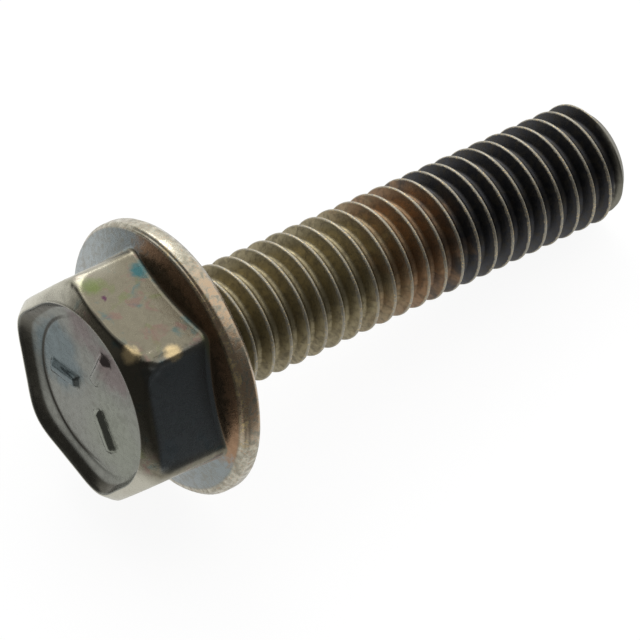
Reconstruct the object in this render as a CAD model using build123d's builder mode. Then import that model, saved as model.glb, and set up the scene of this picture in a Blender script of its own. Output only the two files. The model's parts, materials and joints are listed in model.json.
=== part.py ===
# Hexagon flange bolt, M6 coarse thread, cold formed in one piece.
#
# The bolt is drawn upright on its own axis: the face under the flange is at
# height 0, the head rises above it and the shank hangs below. It is then laid
# on the floor, on the rim of its flange and the last crest of its thread, with
# +Z up. All sizes are in millimetres and all angles in degrees.

import os
from math import atan2, ceil, degrees, floor, radians, tan

from build123d import *

# Hexagon, with a crown that rounds off its top
across_flats = 9.95
head_height = 5.35
corner_radius = 0.75
crown_diameter = 11.16
crown_radius = 1.4

# Dished recess in the top of the head
recess_diameter = 8.9
recess_floor_diameter = 7.2
recess_depth = 0.5

# Flange: a sloping top, and a rim that is bevelled above and below
flange_diameter = 13.2
flange_rim_height = 0.97
flange_bevel_width = 0.43
flange_bevel_height = 0.35
flange_lower_bevel = 0.38
flange_slope = 25.0

# Neck under the flange, and the thread
neck_diameter = 5.3
neck_length = 1.1
neck_bevel = 0.3
shank_length = 24.6
thread_diameter = 5.85
thread_depth = 0.54
pitch = 1.0
tip_diameter = 4.7

# On the side of the first corner of the hexagon the thread has a crest this far
# below the flange, and one every pitch from there
crest_offset = 0.19

# The turn about its own axis in which the bolt lies: its first corner is this
# far from the top
roll = -35.4

flange_radius = flange_diameter / 2
neck_radius = neck_diameter / 2
thread_radius = thread_diameter / 2
root_radius = thread_radius - thread_depth
tip_radius = tip_diameter / 2
tip_chamfer = thread_radius - tip_radius

# Hexagon: a prism with rounded corners, trimmed by a turned crown
with BuildPart() as head:
    with BuildSketch(Plane.XY.offset(flange_rim_height / 2)) as outline:
        RegularPolygon(radius=across_flats / 2, side_count=6, major_radius=False)
        fillet(outline.vertices(), corner_radius)
    extrude(amount=head_height - flange_rim_height / 2)
    with BuildSketch(Plane.XZ):
        with BuildLine():
            shoulder = crown_diameter / 2
            Polyline(
                (shoulder, head_height - crown_radius),
                (shoulder, 0),
                (0, 0),
                (0, head_height),
                (shoulder - crown_radius, head_height),
            )
            RadiusArc(
                (shoulder - crown_radius, head_height),
                (shoulder, head_height - crown_radius),
                crown_radius,
            )
        make_face()
    revolve(axis=Axis.Z, mode=Mode.INTERSECT)

# Flange with its sloping top, and the neck under it
with BuildPart() as flange:
    with BuildSketch(Plane.XZ):
        with BuildLine():
            ridge = flange_radius - flange_bevel_width
            peak = flange_rim_height + ridge * tan(radians(flange_slope))
            Polyline(
                (flange_radius, flange_lower_bevel),
                (flange_radius, flange_rim_height - flange_bevel_height),
                (ridge, flange_rim_height),
                (0, peak),
                (0, -neck_length - neck_radius + root_radius),
                (root_radius, -neck_length - neck_radius + root_radius),
                (neck_radius, -neck_length),
                (neck_radius, -neck_bevel),
                (neck_radius + neck_bevel, 0),
                (flange_radius - flange_lower_bevel, 0),
                close=True,
            )
        make_face()
    revolve(axis=Axis.Z)


def helix_turn(radius, height):
    """One turn of a right-hand helix that starts at this height."""
    return Edge.make_helix(pitch, pitch, radius, center=(0, 0, height)).edge()


def threaded_rod(low, turns):
    """A solid rod of whole turns of thread, closed by a ramp at each end.

    Each turn is made of two strips between helices, the lower and the upper
    flank, which meet in the crest and in the root.
    """
    section = [(root_radius, 0), (thread_radius, pitch / 2), (root_radius, pitch)]
    strips = [
        Face.make_surface_from_curves(
            helix_turn(start[0], low + start[1]),
            helix_turn(end[0], low + end[1]),
        )
        for start, end in zip(section, section[1:])
    ]
    faces = [
        strip.moved(Location((0, 0, turn * pitch))) for turn in range(turns) for strip in strips
    ]
    for height in (low, low + turns * pitch):
        axis_edge = Edge.make_line((0, 0, height), (0, 0, height + pitch))
        faces.append(Face.make_surface_from_curves(axis_edge, helix_turn(root_radius, height)))
        corners = [(radius, 0, height + step) for radius, step in section]
        corners = [(0, 0, height)] + corners + [(0, 0, height + pitch)]
        faces.append(Face(Wire.make_polygon(corners, close=True)))
    return Solid(Shell(faces))


# Thread: a longer rod, trimmed to a bar with a chamfer at each end
turns_below = ceil(shank_length / pitch) + 1
with BuildPart() as thread:
    add(threaded_rod(-crest_offset - (turns_below + 0.5) * pitch, turns_below))
    with BuildSketch(Plane.XZ):
        with BuildLine():
            overlap = neck_radius - root_radius / 2
            Polyline(
                (0, overlap - neck_length),
                (neck_radius - overlap, overlap - neck_length),
                (thread_radius, neck_radius - thread_radius - neck_length),
                (thread_radius, tip_chamfer - shank_length),
                (tip_radius, -shank_length),
                (0, -shank_length),
                close=True,
            )
        make_face()
    revolve(axis=Axis.Z, mode=Mode.INTERSECT)

# The bolt in one piece, with the dished recess pressed into the top
with BuildPart() as upright:
    add(head.part)
    add(flange.part)
    with BuildSketch(Plane.XY.offset(head_height)):
        Circle(recess_diameter / 2)
    recess_wall = (recess_diameter - recess_floor_diameter) / 2
    wall_slope = degrees(atan2(recess_wall, recess_depth))
    extrude(amount=-recess_depth, taper=wall_slope, mode=Mode.SUBTRACT)
    add(thread.part)

# Lying on the floor: the lower edge of the rim and the last full crest of the
# thread touch it, which sets how far the axis slopes down towards the end. The
# origin is on the floor, under the middle of the bolt.
crest_below = crest_offset - (180 - roll) / 360 * pitch
full_thread = shank_length - tip_chamfer
last_crest = crest_below + pitch * floor((full_thread - crest_below) / pitch)
span = last_crest + flange_lower_bevel
slope_down = degrees(atan2(flange_radius - thread_radius, span))
turned = upright.part.rotate(Axis.Z, roll).rotate(Axis.Y, slope_down - 90)
room = turned.bounding_box()
with BuildPart() as flange_bolt:
    with Locations((-room.center().X, 0, -room.min.Z)):
        add(turned)

flange_bolt.part.label = "flange_bolt"

os.makedirs("parts", exist_ok=True)
export_step(flange_bolt.part, "parts/flange_bolt.step")
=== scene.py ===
import json
import math

import bmesh
import bpy
from mathutils import Matrix, Vector


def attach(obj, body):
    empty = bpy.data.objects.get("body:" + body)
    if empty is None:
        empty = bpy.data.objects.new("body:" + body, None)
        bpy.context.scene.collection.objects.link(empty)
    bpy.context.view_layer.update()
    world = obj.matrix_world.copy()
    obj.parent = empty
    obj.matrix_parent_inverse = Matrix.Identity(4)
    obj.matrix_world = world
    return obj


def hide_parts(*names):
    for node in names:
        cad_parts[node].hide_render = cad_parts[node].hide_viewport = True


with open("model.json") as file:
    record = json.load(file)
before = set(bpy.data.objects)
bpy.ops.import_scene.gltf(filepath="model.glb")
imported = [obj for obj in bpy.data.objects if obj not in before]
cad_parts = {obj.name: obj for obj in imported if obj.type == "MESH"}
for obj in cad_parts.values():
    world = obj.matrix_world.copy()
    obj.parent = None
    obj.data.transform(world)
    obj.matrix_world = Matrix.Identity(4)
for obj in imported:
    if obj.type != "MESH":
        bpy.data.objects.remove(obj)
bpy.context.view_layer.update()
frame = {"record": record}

MM_PER_METRE = 1000
MM = 1 / MM_PER_METRE

# Sizes in millimetres. The corners, the crown, the rim and the slope of the flange follow the
# photograph more closely than the solid does, and the other main sizes are the solid's
ACROSS_FLATS = 9.95
HEAD_HEIGHT = 5.35
CORNER_RADIUS = 0.6
CROWN_CORNER_RADIUS = 4.2
CROWN_DEPTH = 1.4
CROWN_BEVEL_DIAMETER = 9.1
CROWN_BEVEL_ANGLE = 27.0
CROWN_EDGE_ROUNDING = 0.16
RECESS_DIAMETER = 8.9
RECESS_FLOOR_DIAMETER = 7.2
RECESS_DEPTH = 0.5
MARK_INNER_REACH = 0.9
MARK_OUTER_REACH = 2.9
MARK_WIDTH = 0.6
MARK_HEIGHT = 0.2
MARK_TURN = 20.0
FLANGE_DIAMETER = 13.2
FLANGE_RIM_HEIGHT = 1.13
FLANGE_BEVEL_WIDTH = 0.15
FLANGE_BEVEL_HEIGHT = 0.2
FLANGE_LOWER_BEVEL = 0.38
FLANGE_SLOPE = 19.5
FLANGE_ROOT_RADIUS = 0.25
HEAD_OFFSET = 0.13
HEAD_OFFSET_TURN = -85
HEAD_OFFSET_TOP = 1.0
NECK_DIAMETER = 5.3
NECK_LENGTH = 1.1
NECK_FILLET = 0.3
NECK_OVERLAP = 0.3
SHANK_LENGTH = 24.6
THREAD_DIAMETER = 5.85
THREAD_DEPTH = 0.54
PITCH = 1.0
THREAD_FADE = 1.1
CREST_WIDTH = 0.13
FLANK_ANGLE = 62.0
TIP_DIAMETER = 4.7
CREST_OFFSET = 0.19
ROLL = -35.4

# How far above the axis the mount under the flange is placed
MOUNT_REACH = 4.8

# Colours of the tarnish and of the painted shade, highlights, reflections and glints, as linear red,
# green and blue
HEAD_STEEL = (0.228, 0.207, 0.152)
HEAD_STEEL_DULL = (0.165, 0.150, 0.110)
CROWN_BARE_AND_SHEEN = (0.360, 0.345, 0.275)
CROWN_PAINTED_SHADE = (0.075, 0.070, 0.056)
TEAL = (0.060, 0.150, 0.160)
PINK = (0.235, 0.135, 0.120)
YELLOW_GREEN = (0.165, 0.195, 0.080)
PURPLE = (0.120, 0.060, 0.090)
PAINTED_REFLECTION_PALE = (0.560, 0.540, 0.450)
WALL_PAINTED_SHADE = (0.120, 0.112, 0.090)
SIDE_PAINTED_SHADE = (0.155, 0.180, 0.198)
RECESS_PALE = (0.240, 0.243, 0.215)
RECESS_BLUE = (0.150, 0.185, 0.190)
RECESS_MAUVE = (0.205, 0.170, 0.160)
RECESS_GREEN = (0.250, 0.262, 0.215)
GROOVE_PAINTED_SHADE = (0.050, 0.045, 0.035)
FLANGE_BROWN = (0.360, 0.225, 0.135)
FLANGE_BLACK = (0.210, 0.150, 0.098)
FLANGE_BLUE = (0.270, 0.300, 0.300)
RIM_BROWN = (0.560, 0.410, 0.270)
RIM_PALE = (0.640, 0.610, 0.500)
COPPER = (0.620, 0.360, 0.210)
GOLD = (0.850, 0.660, 0.360)
THREAD_OLIVE = (0.325, 0.278, 0.168)
THREAD_BROWN = (0.285, 0.178, 0.100)
THREAD_BLACK = (0.052, 0.053, 0.058)
THREAD_DARK = (0.100, 0.085, 0.058)
TIP_STEEL = (0.300, 0.285, 0.230)
CREST_WEAR_AND_HIGHLIGHT = (0.380, 0.360, 0.300)

# Places of spots and painted glints in the bolt's own frame, and the depth of the fine relief
TEAL_SPOT = (3.48, 3.81, 1.92)
GREEN_SPOT = (3.34, 4.06, 4.27)
PURPLE_SPOT = (3.75, 3.34, 4.16)
CROWN_GLINT = (5.18, 0.60, 4.94)
SIDE_GLINT = (5.66, -0.10, 3.15)
BUMP_DEPTH = 0.03

# Where the camera stands, in millimetres and degrees
VIEW_AZIMUTH = -37.052
VIEW_ELEVATION = 51.054
CAMERA_PLACE = (-80.605, -105.081, 165.411)
LENS = 254.17

# Floor, lamp and soft light
FLOOR_RADIUS = 45
LAMP_PLACE = (100, 280, 240)
LAMP_DIAMETER = 200
LAMP_POWER = 0.3
SOFT_LIGHT_DIRECTION = (0.62, 0.45, 0.64)

# Where the bolt lies, from the mount under its flange
mount = next(m for m in frame["record"]["mounts"] if m["name"] == "under_flange_face")
down_axis = Vector(mount["axis"]).normalized()
across = Vector((0, 1, 0))
upward = down_axis.cross(across).normalized()
if upward.z < 0:
    upward.negate()
bearing_centre = Vector(mount["pos_m"]) - upward * MOUNT_REACH * MM
laid = Matrix.Translation(bearing_centre) @ Matrix(
    (
        (upward.x, across.x, -down_axis.x, 0),
        (upward.y, across.y, -down_axis.y, 0),
        (upward.z, across.z, -down_axis.z, 0),
        (0, 0, 0, 1),
    )
)
spin = Matrix.Rotation(math.radians(ROLL), 3, "Z")

# The head stands a little off the axis of the shank
head_middle = HEAD_OFFSET * Vector(
    (math.cos(math.radians(HEAD_OFFSET_TURN)), math.sin(math.radians(HEAD_OFFSET_TURN)), 0)
)


def smooth(value, low, high):
    share = min(1.0, max(0.0, (value - low) / (high - low)))
    return share * share * (3 - 2 * share)


def spread(start, end, count):
    """Evenly spaced values from start to end, without the start."""
    return [start + (end - start) * (i + 1) / count for i in range(count)]


def arc(centre, radius, start, end, count):
    """Points on an arc, without its first, in a half plane through the axis."""
    return [
        (
            centre[0] + radius * math.cos(math.radians(a)),
            centre[1] + radius * math.sin(math.radians(a)),
        )
        for a in spread(start, end, count)
    ]


def line(start, end, count):
    """Points on a straight line, without its first."""
    return [
        (start[0] + (end[0] - start[0]) * t, start[1] + (end[1] - start[1]) * t)
        for t in spread(0, 1, count)
    ]


def hexagon_reach(angle, rounding):
    """Distance from the axis to the side of the hexagon, in this direction."""
    swing = abs((angle + math.pi / 6) % (math.pi / 3) - math.pi / 6)
    half = math.pi / 6
    centre = (ACROSS_FLATS / 2 - rounding) / math.cos(half)
    meet = math.atan2(rounding * math.sin(half), centre + rounding * math.cos(half))
    if swing > meet:
        return ACROSS_FLATS / 2 / math.cos(half - swing)
    return centre * math.cos(swing) + math.sqrt(rounding**2 - (centre * math.sin(swing)) ** 2)


def crown_reach(angle, depth):
    """The same within the crown, this far below the top, where the corners are rounder."""
    share = max(0.0, 1 - depth / CROWN_DEPTH)
    return hexagon_reach(angle, CORNER_RADIUS + (CROWN_CORNER_RADIUS - CORNER_RADIUS) * share**2.2)


def bevel_depth(angle):
    """How far below the top the turned bevel meets the side of the crown, in this direction."""
    low, high = 0.0, CROWN_DEPTH
    for _ in range(30):
        middle = (low + high) / 2
        bevel_reach = CROWN_BEVEL_DIAMETER / 2 + middle / math.tan(math.radians(CROWN_BEVEL_ANGLE))
        if bevel_reach < crown_reach(angle, middle):
            low = middle
        else:
            high = middle
    return low


def mark_rise(reach, angle):
    """Height above the floor of the recess of the plain raised mark, three bars that point outward."""
    best = 0.0
    for bar in range(3):
        swing = angle - math.radians(MARK_TURN + 120 * bar)
        out = reach * math.cos(swing)
        aside = abs(reach * math.sin(swing))
        if out < 0:
            continue
        within = min(out - MARK_INNER_REACH, MARK_OUTER_REACH - out, MARK_WIDTH / 2 - aside)
        best = max(best, smooth(within, -0.06, 0.12))
    return MARK_HEIGHT * best


def corner_wear(angle, height):
    """How far the corners of the head are knocked back, most at the first one."""
    swing = math.degrees((angle + math.pi / 6) % (math.pi / 3) - math.pi / 6)
    first = abs((math.degrees(angle) + 180) % 360 - 180) < 30
    near = math.exp(-((swing / 9) ** 2)) * smooth(height, 2.6, 3.2) * (1.0 if first else 0.35)
    dents = 0.020 * math.sin(swing * 0.9 + height * 5.0)
    dents += 0.016 * math.sin(swing * 1.4 - height * 8.0 + 1.0)
    return near * (0.036 + dents)


def edge_rounding(angle):
    """Radius between the crown and the sides, larger at the first corner and uneven all round."""
    swing = (math.degrees(angle) + 180) % 360 - 180
    worn = 0.24 * math.exp(-(((swing - 4) / 9) ** 2))
    return CROWN_EDGE_ROUNDING + worn + 0.025 * math.sin(5 * angle + 1) + 0.02 * math.sin(13 * angle)


def head_section(angle):
    """The outline of head, flange and neck in one direction, from the recess out and down."""
    floor = HEAD_HEIGHT - RECESS_DEPTH
    # On the side that faces down the wall of the recess is steeper
    steep = 1 - smooth(abs((math.degrees(angle) + 25 + 180) % 360 - 180), 70, 120)
    foot = RECESS_FLOOR_DIAMETER / 2 + 0.5 * steep
    edge_depth = bevel_depth(angle)
    edge = crown_reach(angle, edge_depth)
    # The dish is round towards the first corner, and spreads with the hexagon on the far side
    away = smooth(abs((math.degrees(angle) + 180) % 360 - 180), 70, 118)
    lip = RECESS_DIAMETER / 2 * (1 - away) + (edge - 0.45) * away
    top = HEAD_HEIGHT - 0.02
    points = [(0.0005, floor)]
    across_floor = line(points[-1], (foot - 0.14, floor), 40)
    points += [(reach, floor + mark_rise(reach, angle)) for reach, _ in across_floor]
    points += [(foot - 0.06, floor - 0.012), (foot, floor - 0.006), (foot + 0.06, floor + 0.02)]
    bend = (foot + (lip - foot) * 0.5, floor + RECESS_DEPTH * 0.24)
    points += line(points[-1], bend, 3)
    brim = (lip - 0.06, top - 0.07)
    points += [
        (
            bend[0] + (brim[0] - bend[0]) * t,
            bend[1] + (brim[1] - bend[1]) * t**1.25,
        )
        for t in spread(0, 1, 5)
    ]
    points += [(lip - 0.03, top - 0.018), (lip, top), (lip + 0.08, top - 0.004)]
    # The turned bevel, and the rounding where it meets the side
    start = points[-1]
    meet = (edge, HEAD_HEIGHT - edge_depth)
    rounding = edge_rounding(angle)
    side_depth = edge_depth + rounding
    side = (crown_reach(angle, side_depth), HEAD_HEIGHT - side_depth)
    share = max(0.3, 1 - 2 * rounding / max(0.2, edge - start[0]))
    turn_in = (start[0] + (meet[0] - start[0]) * share, start[1] + (meet[1] - start[1]) * share)
    points += line(start, turn_in, 5)
    points += [
        tuple((1 - t) ** 2 * turn_in[k] + 2 * t * (1 - t) * meet[k] + t * t * side[k] for k in (0, 1))
        for t in spread(0, 1, 7)
    ]
    depths = spread(side_depth, CROWN_DEPTH, 10)
    points += [(crown_reach(angle, depth), HEAD_HEIGHT - depth) for depth in depths]
    # Wear takes the rounding and the side of the crown, the last 17 points, back
    worn = [(reach - corner_wear(angle, height), height) for reach, height in points[-17:]]
    points = points[:-17] + worn
    # The side, the fillet at its foot, the sloping top of the flange and its rim
    slope = math.tan(math.radians(FLANGE_SLOPE))
    ridge = FLANGE_DIAMETER / 2 - FLANGE_BEVEL_WIDTH
    wall = hexagon_reach(angle, CORNER_RADIUS)
    base = FLANGE_RIM_HEIGHT + (ridge - wall) * slope
    set_back = FLANGE_ROOT_RADIUS * math.tan(math.radians((90 - FLANGE_SLOPE) / 2))
    points += line(points[-1], (wall, base + set_back), 6)
    points += [
        (
            wall + FLANGE_ROOT_RADIUS * (1 - math.cos(math.radians(a))),
            base + set_back - FLANGE_ROOT_RADIUS * math.sin(math.radians(a)),
        )
        for a in spread(0, 90 - FLANGE_SLOPE, 7)
    ]
    before_ridge = (ridge - 0.08, FLANGE_RIM_HEIGHT + 0.08 * slope)
    points += line(points[-1], before_ridge, 9)
    rim = FLANGE_DIAMETER / 2
    points += [
        (ridge - 0.03, FLANGE_RIM_HEIGHT + 0.012),
        (ridge + 0.015, FLANGE_RIM_HEIGHT - 0.02),
        (ridge + 0.035, FLANGE_RIM_HEIGHT - 0.07),
        (ridge + 0.06, FLANGE_RIM_HEIGHT - 0.11),
        (ridge + 0.105, FLANGE_RIM_HEIGHT - 0.145),
        (ridge + 0.14, FLANGE_RIM_HEIGHT - FLANGE_BEVEL_HEIGHT),
        (rim, FLANGE_RIM_HEIGHT - 0.28),
        (rim, FLANGE_LOWER_BEVEL + 0.12),
        (rim - 0.008, FLANGE_LOWER_BEVEL + 0.04),
        (rim - 0.032, FLANGE_LOWER_BEVEL - 0.03),
        (rim - 0.08, FLANGE_LOWER_BEVEL - 0.09),
        (rim - FLANGE_LOWER_BEVEL + 0.08, 0.09),
        (rim - FLANGE_LOWER_BEVEL, 0.03),
        (rim - FLANGE_LOWER_BEVEL - 0.09, 0.0),
    ]
    neck = NECK_DIAMETER / 2
    points += line(points[-1], (neck + NECK_FILLET, 0), 4)
    points += arc((neck + NECK_FILLET, -NECK_FILLET), NECK_FILLET, 90, 180, 4)
    points += line(points[-1], (neck, NECK_OVERLAP - NECK_LENGTH), 2)
    return points


def thread_form():
    """One pitch of the thread as (share of the pitch, radius), from one root to the next."""
    crest = THREAD_DIAMETER / 2
    root = crest - THREAD_DEPTH
    half_flank = math.tan(math.radians(FLANK_ANGLE / 2))
    middle = 0.5
    near = CREST_WIDTH / 2
    return [
        (0.0, root),
        (middle - near - THREAD_DEPTH * 0.93 * half_flank, root + 0.04 * THREAD_DEPTH),
        (middle - near - THREAD_DEPTH * 0.8 * half_flank, root + 0.17 * THREAD_DEPTH),
        (middle - near - THREAD_DEPTH * 0.45 * half_flank, root + 0.55 * THREAD_DEPTH),
        (middle - near - THREAD_DEPTH * 0.12 * half_flank, crest - 0.11 * THREAD_DEPTH),
        (middle - near * 0.9, crest - 0.022 * THREAD_DEPTH),
        (middle - near * 0.35, crest),
        (middle + near * 0.35, crest),
        (middle + near * 0.9, crest - 0.022 * THREAD_DEPTH),
        (middle + near + THREAD_DEPTH * 0.12 * half_flank, crest - 0.11 * THREAD_DEPTH),
        (middle + near + THREAD_DEPTH * 0.45 * half_flank, root + 0.55 * THREAD_DEPTH),
        (middle + near + THREAD_DEPTH * 0.8 * half_flank, root + 0.17 * THREAD_DEPTH),
        (middle + near + THREAD_DEPTH * 0.93 * half_flank, root + 0.04 * THREAD_DEPTH),
    ]


def angles():
    """Directions round the axis, closer together at the corners of the hexagon."""
    dense = [0.0, 0.9, 1.8, 2.8, 3.8, 4.8, 5.8, 7.2, 9.0, 12.0, 15.0, 18.0, 21.0, 24.0, 27.0, 30.0]
    one_side = dense + [60 - a for a in reversed(dense[1:-1])]
    return [math.radians(60 * side + a) for side in range(6) for a in one_side]


def add_points(vertices, points):
    """Adds these points to the list and returns their numbers."""
    start = len(vertices)
    vertices.extend(points)
    return list(range(start, len(vertices)))


def circle(turn, radius, height):
    return [(radius * math.cos(a), radius * math.sin(a), height) for a in turn]


def add_head(vertices, faces, turn):
    """Head, flange and neck. Returns the ring in the middle of the recess."""
    sections = [head_section(a) for a in turn]
    rings = []
    for level in range(len(sections[0])):
        ring = []
        for a, section in zip(turn, sections):
            reach, height = section[level]
            share = 1.0
            if height < HEAD_OFFSET_TOP:
                share = smooth(height, -0.02, 0.35) * smooth(reach, 3.2, 4.2)
            x = reach * math.cos(a) + share * head_middle.x
            y = reach * math.sin(a) + share * head_middle.y
            ring.append((x, y, height))
        rings.append(add_points(vertices, ring))
    for upper, lower in zip(rings, rings[1:]):
        for i in range(len(turn)):
            k = (i + 1) % len(turn)
            faces.append((upper[i], lower[i], lower[k], upper[k]))
    return rings[0]


def thread_row(turn, level, radius):
    """Points along the helix at this level, faded into the neck and cut by the chamfer."""
    top = NECK_OVERLAP - NECK_LENGTH
    bottom = -SHANK_LENGTH
    neck = NECK_DIAMETER / 2
    tip = TIP_DIAMETER / 2
    row = []
    for a in turn:
        height = min(top, max(bottom, level + PITCH * a / (2 * math.pi) - PITCH))
        here = neck + (radius - neck) * smooth(-height, -top, -top + THREAD_FADE)
        if height - bottom < THREAD_DIAMETER / 2 - tip:
            here = min(here, tip + height - bottom)
        row.append((here * math.cos(a), here * math.sin(a), height))
    return row


def add_thread(vertices, faces, turn):
    """The thread. Its rows follow the helix, so a row ends one pitch further on than it
    starts, and its last point joins the row that starts there."""
    form = thread_form()
    first = -CREST_OFFSET - PITCH / 2
    rows = []
    for step in range(int(math.ceil(SHANK_LENGTH / PITCH)) + 3):
        for share, radius in reversed(form):
            row = thread_row(turn, first + PITCH * (1 + share - step), radius)
            rows.append(add_points(vertices, row))
    for index in range(len(rows) - 1):
        for i in range(len(turn)):
            if i < len(turn) - 1:
                a, b = rows[index][i], rows[index][i + 1]
                c, d = rows[index + 1][i + 1], rows[index + 1][i]
            elif index < len(form):
                continue
            else:
                a, b = rows[index][i], rows[index - len(form)][0]
                c, d = rows[index - len(form) + 1][0], rows[index + 1][i]
            faces.append((a, d, c, b))


def add_end(vertices, faces, turn):
    """The flat face at the end of the shank."""
    tip = TIP_DIAMETER / 2
    bottom = -SHANK_LENGTH
    centre = add_points(vertices, [(0, 0, bottom)])[0]
    inner = add_points(vertices, circle(turn, 0.55 * tip, bottom))
    outer = add_points(vertices, circle(turn, tip, bottom))
    for i in range(len(turn)):
        k = (i + 1) % len(turn)
        faces.append((outer[i], inner[i], inner[k], outer[k]))
        faces.append((inner[i], centre, inner[k]))


def bolt_mesh():
    """Head, flange, neck and thread as one closed surface, in the upright frame."""
    turn = angles()
    vertices = []
    faces = []
    middle_ring = add_head(vertices, faces, turn)
    add_thread(vertices, faces, turn)
    add_end(vertices, faces, turn)
    recess_middle = (head_middle.x, head_middle.y, HEAD_HEIGHT - RECESS_DEPTH)
    centre = add_points(vertices, [recess_middle])[0]
    for i in range(len(turn)):
        faces.append((centre, middle_ring[i], middle_ring[(i + 1) % len(turn)]))
    return vertices, faces


def make_object(name, vertices, faces):
    mesh = bpy.data.meshes.new(name)
    mesh.from_pydata([laid @ (spin @ Vector(v) * MM) for v in vertices], [], faces)
    obj = bpy.data.objects.new(name, mesh)
    bpy.context.scene.collection.objects.link(obj)
    return obj


bolt = make_object("bolt_surface", *bolt_mesh())

shape = bmesh.new()
shape.from_mesh(bolt.data)
bmesh.ops.remove_doubles(shape, verts=shape.verts, dist=0.0000004)
bmesh.ops.dissolve_degenerate(shape, dist=0.0000002, edges=shape.edges)
bmesh.ops.recalc_face_normals(shape, faces=shape.faces)
for face in shape.faces:
    face.smooth = True
shape.to_mesh(bolt.data)
shape.free()


class Nodes:
    """A short way to write a node tree."""

    def __init__(self, tree):
        self.tree = tree

    def add(self, kind, values=None, **inputs):
        """A node with these values. Inputs go by their name, or by i and their number."""
        node = self.tree.nodes.new(kind)
        for key, value in (values or {}).items():
            setattr(node, key, value)
        for key, value in inputs.items():
            numbered = key[0] == "i" and key[1:].isdigit()
            socket = node.inputs[int(key[1:]) if numbered else key.replace("_", " ")]
            if isinstance(value, bpy.types.NodeSocket):
                self.tree.links.new(value, socket)
            else:
                socket.default_value = value
        return node

    def noise(self, vector, scale, detail, roughness, distortion=0.0):
        node = self.add(
            "ShaderNodeTexNoise",
            Vector=vector,
            Scale=scale,
            Detail=detail,
            Roughness=roughness,
            Distortion=distortion,
        )
        return node.outputs[0]

    def ramp(self, value, low, high, start=0.0, end=1.0):
        """A smooth step from start to end, while the value goes from low to high."""
        node = self.add(
            "ShaderNodeMapRange",
            {"interpolation_type": "SMOOTHSTEP"},
            i0=value,
            i1=low,
            i2=high,
            i3=start,
            i4=end,
        )
        return node.outputs[0]

    def math(self, operation, a, b):
        return self.add("ShaderNodeMath", {"operation": operation}, i0=a, i1=b).outputs[0]

    def product(self, first, *others):
        for other in others:
            first = self.math("MULTIPLY", first, other)
        return first

    def stirred(self, value, noise, amount):
        """The value, made uneven by a noise."""
        return self.math("ADD", value, self.product(self.math("SUBTRACT", noise, 0.5), amount))

    def vector(self, operation, a, b=(0, 0, 0)):
        node = self.add("ShaderNodeVectorMath", {"operation": operation}, i0=a, i1=b)
        is_number = operation in ("LENGTH", "DISTANCE", "DOT_PRODUCT")
        return node.outputs["Value" if is_number else "Vector"]

    def mix(self, factor, a, b):
        """Colour a where the factor is 0 and colour b where it is 1."""
        node = self.add("ShaderNodeMix", {"data_type": "RGBA"})
        for index, value in ((0, factor), (6, a), (7, b)):
            if isinstance(value, bpy.types.NodeSocket):
                self.tree.links.new(value, node.inputs[index])
            else:
                node.inputs[index].default_value = value if index == 0 else (*value, 1.0)
        return node.outputs[2]


class BoltNodes(Nodes):
    """Nodes that know where they are on the bolt, in millimetres and in its own frame, with
    Z along the axis and X to the first corner."""

    def __init__(self, tree):
        super().__init__(tree)
        inverse = (laid @ spin.to_4x4()).inverted()
        self.point = self.add(
            "ShaderNodeMapping",
            {"vector_type": "POINT"},
            Vector=self.add("ShaderNodeTexCoord").outputs["Object"],
            Location=inverse.to_translation() * MM_PER_METRE,
            Rotation=inverse.to_euler(),
            Scale=(MM_PER_METRE, MM_PER_METRE, MM_PER_METRE),
        ).outputs[0]
        split = self.add("ShaderNodeSeparateXYZ", Vector=self.point)
        self.along = split.outputs["Z"]
        flat = self.add("ShaderNodeCombineXYZ", X=split.outputs["X"], Y=split.outputs["Y"])
        self.flat = flat.outputs[0]
        self.side = self.vector("NORMALIZE", self.flat)
        self.reach = self.vector("LENGTH", self.flat)
        self.head_reach = self.vector("DISTANCE", self.flat, head_middle)
        # Parts of the surface's direction that point out from the axis and along it
        normal = self.add(
            "ShaderNodeMapping",
            {"vector_type": "VECTOR"},
            Vector=self.add("ShaderNodeNewGeometry").outputs["Normal"],
            Rotation=inverse.to_euler(),
        ).outputs[0]
        self.outward = self.vector("DOT_PRODUCT", normal, self.side)
        self.lengthwise = self.add("ShaderNodeSeparateXYZ", Vector=normal).outputs["Z"]
        self.grain = self.noise(self.point, 14.0, 3.0, 0.6)
        self.mottle = self.noise(self.point, 3.2, 5.0, 0.62, 0.4)
        self.patch = self.noise(self.point, 0.95, 3.0, 0.55, 0.5)
        shifted = self.vector("ADD", self.point, (17.3, 4.1, 9.7))
        self.second_patch = self.noise(shifted, 1.1, 3.0, 0.55, 0.5)
        shifted = self.vector("ADD", self.point, (-8.9, 21.4, 3.3))
        self.third_patch = self.noise(shifted, 0.8, 3.0, 0.55, 0.5)

    def facing(self, angle):
        """1 on the side that faces this angle, 0 square to it and -1 on the far side."""
        toward = (math.cos(math.radians(angle)), math.sin(math.radians(angle)), 0)
        return self.vector("DOT_PRODUCT", self.side, toward)

    def spot(self, place, full, none):
        """1 this near to the place and 0 this far from it, with an uneven edge."""
        away = self.vector("DISTANCE", self.point, place)
        return self.ramp(self.stirred(away, self.mottle, 0.5), none, full)

    def cloud(self, x, y, full, none):
        """The same, seen along the axis, with a softer edge."""
        away = self.vector("DISTANCE", self.flat, (x, y, 0))
        return self.ramp(self.stirred(away, self.patch, 2.0), none, full)


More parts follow.
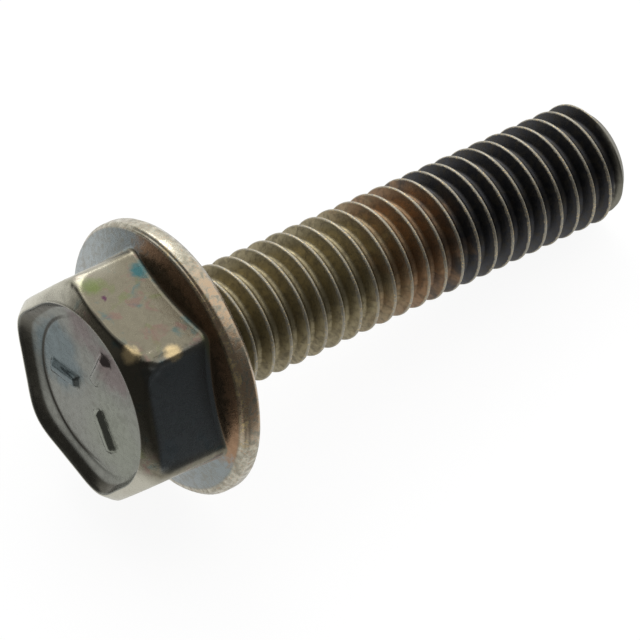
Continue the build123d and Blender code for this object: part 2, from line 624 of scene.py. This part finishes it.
def head_tone(n):
    """Grey beige steel with faint temper colours, painted shade on the side that faces -30 degrees,
    and a paler crown, partly barer metal and partly painted sheen.
    """
    tone = n.mix(n.ramp(n.mottle, 0.35, 0.7, 0.0, 0.5), HEAD_STEEL, HEAD_STEEL_DULL)
    tone = n.mix(n.ramp(n.patch, 0.56, 0.68, 0.0, 0.55), tone, TEAL)
    tone = n.mix(n.ramp(n.second_patch, 0.55, 0.68, 0.0, 0.5), tone, PINK)
    tone = n.mix(n.ramp(n.third_patch, 0.56, 0.7, 0.0, 0.5), tone, YELLOW_GREEN)
    on_side = n.product(n.ramp(n.along, 4.95, 4.75), n.ramp(n.along, 1.4, 1.7))
    # Painted shade: the side that faces -30 degrees is darkened to a cool grey
    painted_side_shade = n.product(n.ramp(n.facing(-30), 0.86, 0.92, 0.0, 0.85), on_side)
    tone = n.mix(painted_side_shade, tone, SIDE_PAINTED_SHADE)
    tone = n.mix(n.spot(TEAL_SPOT, 0.15, 0.55), tone, TEAL)
    tone = n.mix(n.spot(GREEN_SPOT, 0.2, 0.7), tone, YELLOW_GREEN)
    tone = n.mix(n.spot(PURPLE_SPOT, 0.02, 0.2), tone, PURPLE)
    # The crown is paler, partly barer metal and partly painted sheen, left off the side with painted
    # shade
    crown = n.ramp(n.math("ADD", n.along, n.product(n.mottle, 0.3)), 4.95, 5.15, 0.0, 0.9)
    tone = n.mix(n.product(crown, n.ramp(n.facing(155), -0.45, -0.1)), tone, CROWN_BARE_AND_SHEEN)
    return tone


def head_tone_with_painted_light(n):
    """The head's tone, with painted shade on the crown, painted reflections on two sides and painted
    glints at the first corner.
    """
    # Painted shade: the crown is darkened beside the first corner, and so is its edge
    painted_crown_shade = n.product(n.ramp(n.along, 4.60, 4.85), n.ramp(n.facing(-20), 0.84, 0.93, 0.0, 0.7))
    edge = n.product(
        n.ramp(n.lengthwise, 0.10, 0.25),
        n.ramp(n.lengthwise, 0.86, 0.72),
        n.ramp(n.along, 4.3, 4.6),
        n.ramp(n.facing(8), 0.80, 0.92, 0.0, 0.8),
    )
    tone = n.mix(n.math("MAXIMUM", painted_crown_shade, edge), head_tone(n), CROWN_PAINTED_SHADE)
    # Painted reflection: pale patches on the sides that face 100 and -95 degrees
    height = n.math("ADD", n.along, n.mottle)
    painted_reflection = n.math(
        "MAXIMUM",
        n.product(n.ramp(n.facing(100), 0.62, 0.88), n.ramp(height, 2.6, 3.8)),
        n.product(n.ramp(n.facing(-95), 0.80, 0.92), n.ramp(height, 3.6, 4.6)),
    )
    tone = n.mix(n.product(painted_reflection, 0.9), tone, PAINTED_REFLECTION_PALE)
    # Painted glints: bright gold spots at the first corner
    painted_glints = n.math("MAXIMUM", n.spot(CROWN_GLINT, 0.15, 0.55), n.spot(SIDE_GLINT, 0.15, 0.55))
    return n.mix(n.product(painted_glints, 0.9), tone, GOLD)


def recess_tone(n):
    """Pale steel with a blue, a mauve and a greenish cloud, and painted shade in the groove round its
    floor and on one side of its wall.
    """
    tone = n.mix(n.cloud(0.5, -2.6, 0.8, 3.2), RECESS_PALE, RECESS_GREEN)
    tone = n.mix(n.cloud(-1.2, 2.0, 1.0, 2.4), tone, RECESS_BLUE)
    mauve = n.math("MAXIMUM", n.cloud(2.9, 0.2, 0.6, 1.5), n.cloud(2.0, 2.7, 0.4, 1.6))
    tone = n.mix(mauve, tone, RECESS_MAUVE)
    tone = n.mix(n.ramp(n.mottle, 0.5, 0.8, 0.0, 0.25), tone, HEAD_STEEL_DULL)
    foot = RECESS_FLOOR_DIAMETER / 2
    # Painted shade in the groove round the floor, on one side
    painted_groove_shade = n.product(
        n.ramp(n.head_reach, foot - 0.12, foot - 0.03),
        n.ramp(n.head_reach, foot + 0.13, foot + 0.03),
        n.ramp(n.facing(155), 0.0, 0.5),
        0.9,
    )
    tone = n.mix(painted_groove_shade, tone, GROOVE_PAINTED_SHADE)
    # Painted shade: the wall of the recess faces the axis, and is darkened on one side, most away from
    # its lip
    inward = n.math("SUBTRACT", n.head_reach, n.product(n.outward, 6.0))
    wall = n.product(
        n.ramp(inward, 4.2, 4.9),
        n.ramp(n.along, 4.96, 5.03),
        n.ramp(n.facing(150), -0.5, -0.15),
        n.ramp(n.along, 5.31, 5.24, 0.25, 1.0),
        0.92,
    )
    return n.mix(wall, tone, WALL_PAINTED_SHADE)


def flange_tone(n):
    """A dark brown skin on the side of the first corner, blue grey elsewhere."""
    skin = n.mix(n.ramp(n.stirred(n.reach, n.mottle, 0.8), 5.55, 5.95), FLANGE_BLACK, FLANGE_BROWN)
    bare = n.mix(n.ramp(n.mottle, 0.40, 0.75, 0.0, 0.6), FLANGE_BLUE, HEAD_STEEL)
    return n.mix(n.ramp(n.stirred(n.facing(-5), n.mottle, 0.3), 0.40, 0.60), bare, skin)


def rim_tone(n):
    """Pale where it is rubbed, brown with copper and gold specks at the side."""
    tone = n.mix(n.ramp(n.mottle, 0.30, 0.65, 0.0, 0.75), RIM_PALE, HEAD_STEEL)
    brown = n.product(n.ramp(n.facing(-12), 0.70, 0.90), n.ramp(n.mottle, 0.62, 0.42))
    tone = n.mix(brown, tone, RIM_BROWN)
    tone = n.mix(n.ramp(n.grain, 0.58, 0.68, 0.0, 0.8), tone, COPPER)
    specks = n.math("ADD", n.mottle, n.product(n.grain, 0.5))
    rubbed_ridge = n.product(
        n.ramp(n.lengthwise, 0.35, 0.55),
        n.ramp(specks, 0.74, 0.84),
        n.ramp(n.facing(-5), 0.6, 0.8),
    )
    return n.mix(rubbed_ridge, tone, GOLD)


def thread_tone(n):
    """Olive by the head, then brown, with a blue black end and crests lightened by wear and painted
    highlight.
    """
    wobble = n.stirred(n.along, n.patch, 5.0)
    tone = n.mix(n.ramp(wobble, -8.5, -12.5), THREAD_OLIVE, THREAD_BROWN)
    tone = n.mix(n.ramp(wobble, -12.6, -15.0), tone, THREAD_BLACK)
    tone = n.mix(n.ramp(n.mottle, 0.4, 0.7, 0.0, 0.5), tone, THREAD_DARK)
    uneven = n.math("ADD", n.along, n.product(n.mottle, 0.3))
    tone = n.mix(n.ramp(uneven, -23.75, -23.95, 0.0, 0.8), tone, TIP_STEEL)
    # Crests are lighter, partly metal rubbed bare and partly painted highlight, with a few bright gold
    # specks painted as glints
    worn = n.ramp(n.stirred(n.reach, n.mottle, 0.12), 2.86, 2.915)
    crest = n.mix(n.ramp(n.grain, 0.55, 0.65), CREST_WEAR_AND_HIGHLIGHT, GOLD)
    return n.mix(n.product(worn, 0.85), tone, crest)


def tarnished_steel(name):
    material = bpy.data.materials.new(name)
    material.use_nodes = True
    tree = material.node_tree
    shader = tree.nodes["Principled BSDF"]
    n = BoltNodes(tree)
    # Where the recess, the flange's top, its rim and the thread are
    in_recess = n.math("MAXIMUM", n.ramp(n.head_reach, 4.5, 4.3), n.ramp(n.outward, -0.06, -0.20))
    in_recess = n.product(in_recess, n.ramp(n.along, 4.0, 4.6))
    on_flange = n.product(
        n.ramp(n.along, 2.4, 2.2),
        n.ramp(n.lengthwise, 0.72, 0.88),
        n.ramp(n.reach, 6.42, 6.2),
    )
    on_rim = n.product(n.ramp(n.along, 1.5, 1.2), n.ramp(n.reach, 6.25, 6.42), 0.9)
    on_thread = n.ramp(n.along, -0.4, -1.0)
    tone = n.mix(in_recess, head_tone_with_painted_light(n), recess_tone(n))
    tone = n.mix(on_flange, tone, flange_tone(n))
    tone = n.mix(on_rim, tone, rim_tone(n))
    tone = n.mix(on_thread, tone, thread_tone(n))
    tree.links.new(tone, shader.inputs["Base Color"])
    shader.inputs["Metallic"].default_value = 1.0
    rough = n.math("ADD", n.mottle, n.product(n.grain, 0.4))
    rough = n.ramp(rough, 0.45, 0.95, 0.20, 0.36)
    rough = n.math("ADD", rough, n.product(on_thread, 0.20))
    tree.links.new(rough, shader.inputs["Roughness"])
    height = n.math("ADD", n.product(n.mottle, 0.6), n.product(n.grain, 0.25))
    height = n.product(height, n.ramp(in_recess, 0.0, 1.0, 1.0, 0.4))
    bump = n.add("ShaderNodeBump", Strength=0.5, Distance=BUMP_DEPTH * MM, Height=height)
    tree.links.new(bump.outputs[0], shader.inputs["Normal"])
    return material


bolt.data.materials.append(tarnished_steel("tarnished_steel"))
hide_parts("flange_bolt")
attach(bolt, "root")


# Floor, lamps, surroundings and camera
def white_floor(name):
    """White to the camera. To the metal it is white beside the bolt and dark toward the camera."""
    material = bpy.data.materials.new(name)
    material.use_nodes = True
    tree = material.node_tree
    tree.nodes.clear()
    n = Nodes(tree)
    path = n.add("ShaderNodeLightPath")
    split = n.add("ShaderNodeSeparateXYZ", Vector=n.add("ShaderNodeNewGeometry").outputs["Position"])
    lit = n.ramp(split.outputs["X"], -0.028, -0.022, 0.04, 0.75)
    lit = n.math("MULTIPLY", lit, n.ramp(split.outputs["Y"], -0.022, -0.010, 0.1, 1.0))
    lit = n.math("ADD", lit, n.ramp(split.outputs["Y"], 0.008, 0.016, 0.0, 0.2))
    glossy = n.math("MULTIPLY", path.outputs["Is Glossy Ray"], lit)
    seen = n.math("ADD", n.math("MULTIPLY", path.outputs["Is Camera Ray"], 0.92), glossy)
    glow = n.add("ShaderNodeEmission", Color=(1, 1, 1, 1), Strength=seen)
    matt = n.add("ShaderNodeBsdfDiffuse", Color=(0.14, 0.14, 0.14, 1))
    both = n.add("ShaderNodeAddShader", i0=glow.outputs[0], i1=matt.outputs[0])
    n.add("ShaderNodeOutputMaterial", Surface=both.outputs[0])
    return material


floor_mesh = bpy.data.meshes.new("floor")
floor_level = min(v.co.z for v in bolt.data.vertices)
radius = FLOOR_RADIUS * MM
floor_mesh.from_pydata(
    [
        (radius * math.cos(math.radians(a)), radius * math.sin(math.radians(a)), floor_level)
        for a in range(0, 360, 5)
    ],
    [],
    [tuple(range(72))],
)
floor = bpy.data.objects.new("floor", floor_mesh)
bpy.context.scene.collection.objects.link(floor)
floor.data.materials.append(white_floor("white_floor"))


def area_lamp(name, place, aim, size, power):
    lamp = bpy.data.lights.new(name, "AREA")
    lamp.shape = "DISK"
    lamp.size = size
    lamp.energy = power
    obj = bpy.data.objects.new(name, lamp)
    obj.location = place
    obj.rotation_euler = (Vector(aim) - Vector(place)).to_track_quat("-Z", "Y").to_euler()
    bpy.context.scene.collection.objects.link(obj)


area_lamp("lamp_behind", Vector(LAMP_PLACE) * MM, (0, 0, 0), LAMP_DIAMETER * MM, LAMP_POWER)

world = bpy.data.worlds.new("studio")
bpy.context.scene.world = world
world.use_nodes = True
tree = world.node_tree
tree.nodes.clear()
n = Nodes(tree)
direction = n.add("ShaderNodeTexCoord").outputs["Generated"]
height = n.add("ShaderNodeSeparateXYZ", Vector=direction)
# A large soft light behind and to the right, and a pale backdrop along the horizon behind
toward_light = n.vector("DOT_PRODUCT", direction, Vector(SOFT_LIGHT_DIRECTION).normalized())
tent = n.ramp(toward_light, 0.30, 0.72)
low = n.ramp(height.outputs["Z"], 0.22, 0.06)
backdrop = n.product(low, n.ramp(height.outputs["Y"], 0.58, 0.78), 0.85)
glow = n.math("ADD", n.math("MAXIMUM", tent, backdrop), 0.10)
path = n.add("ShaderNodeLightPath")
level = n.math("MAXIMUM", glow, path.outputs["Is Camera Ray"])
sky = n.add("ShaderNodeBackground", Color=(1, 1, 1, 1), Strength=level)
n.add("ShaderNodeOutputWorld", Surface=sky.outputs[0])

camera_data = bpy.data.cameras.new("camera")
camera_data.sensor_width = 36
camera_data.lens = LENS
camera_data.clip_start = 0.01
camera = bpy.data.objects.new("camera", camera_data)
camera.location = Vector(CAMERA_PLACE) * MM
camera.rotation_euler = (math.radians(90 - VIEW_ELEVATION), 0, math.radians(VIEW_AZIMUTH))
bpy.context.scene.collection.objects.link(camera)
bpy.context.scene.camera = camera
bpy.context.scene.view_settings.view_transform = "Standard"
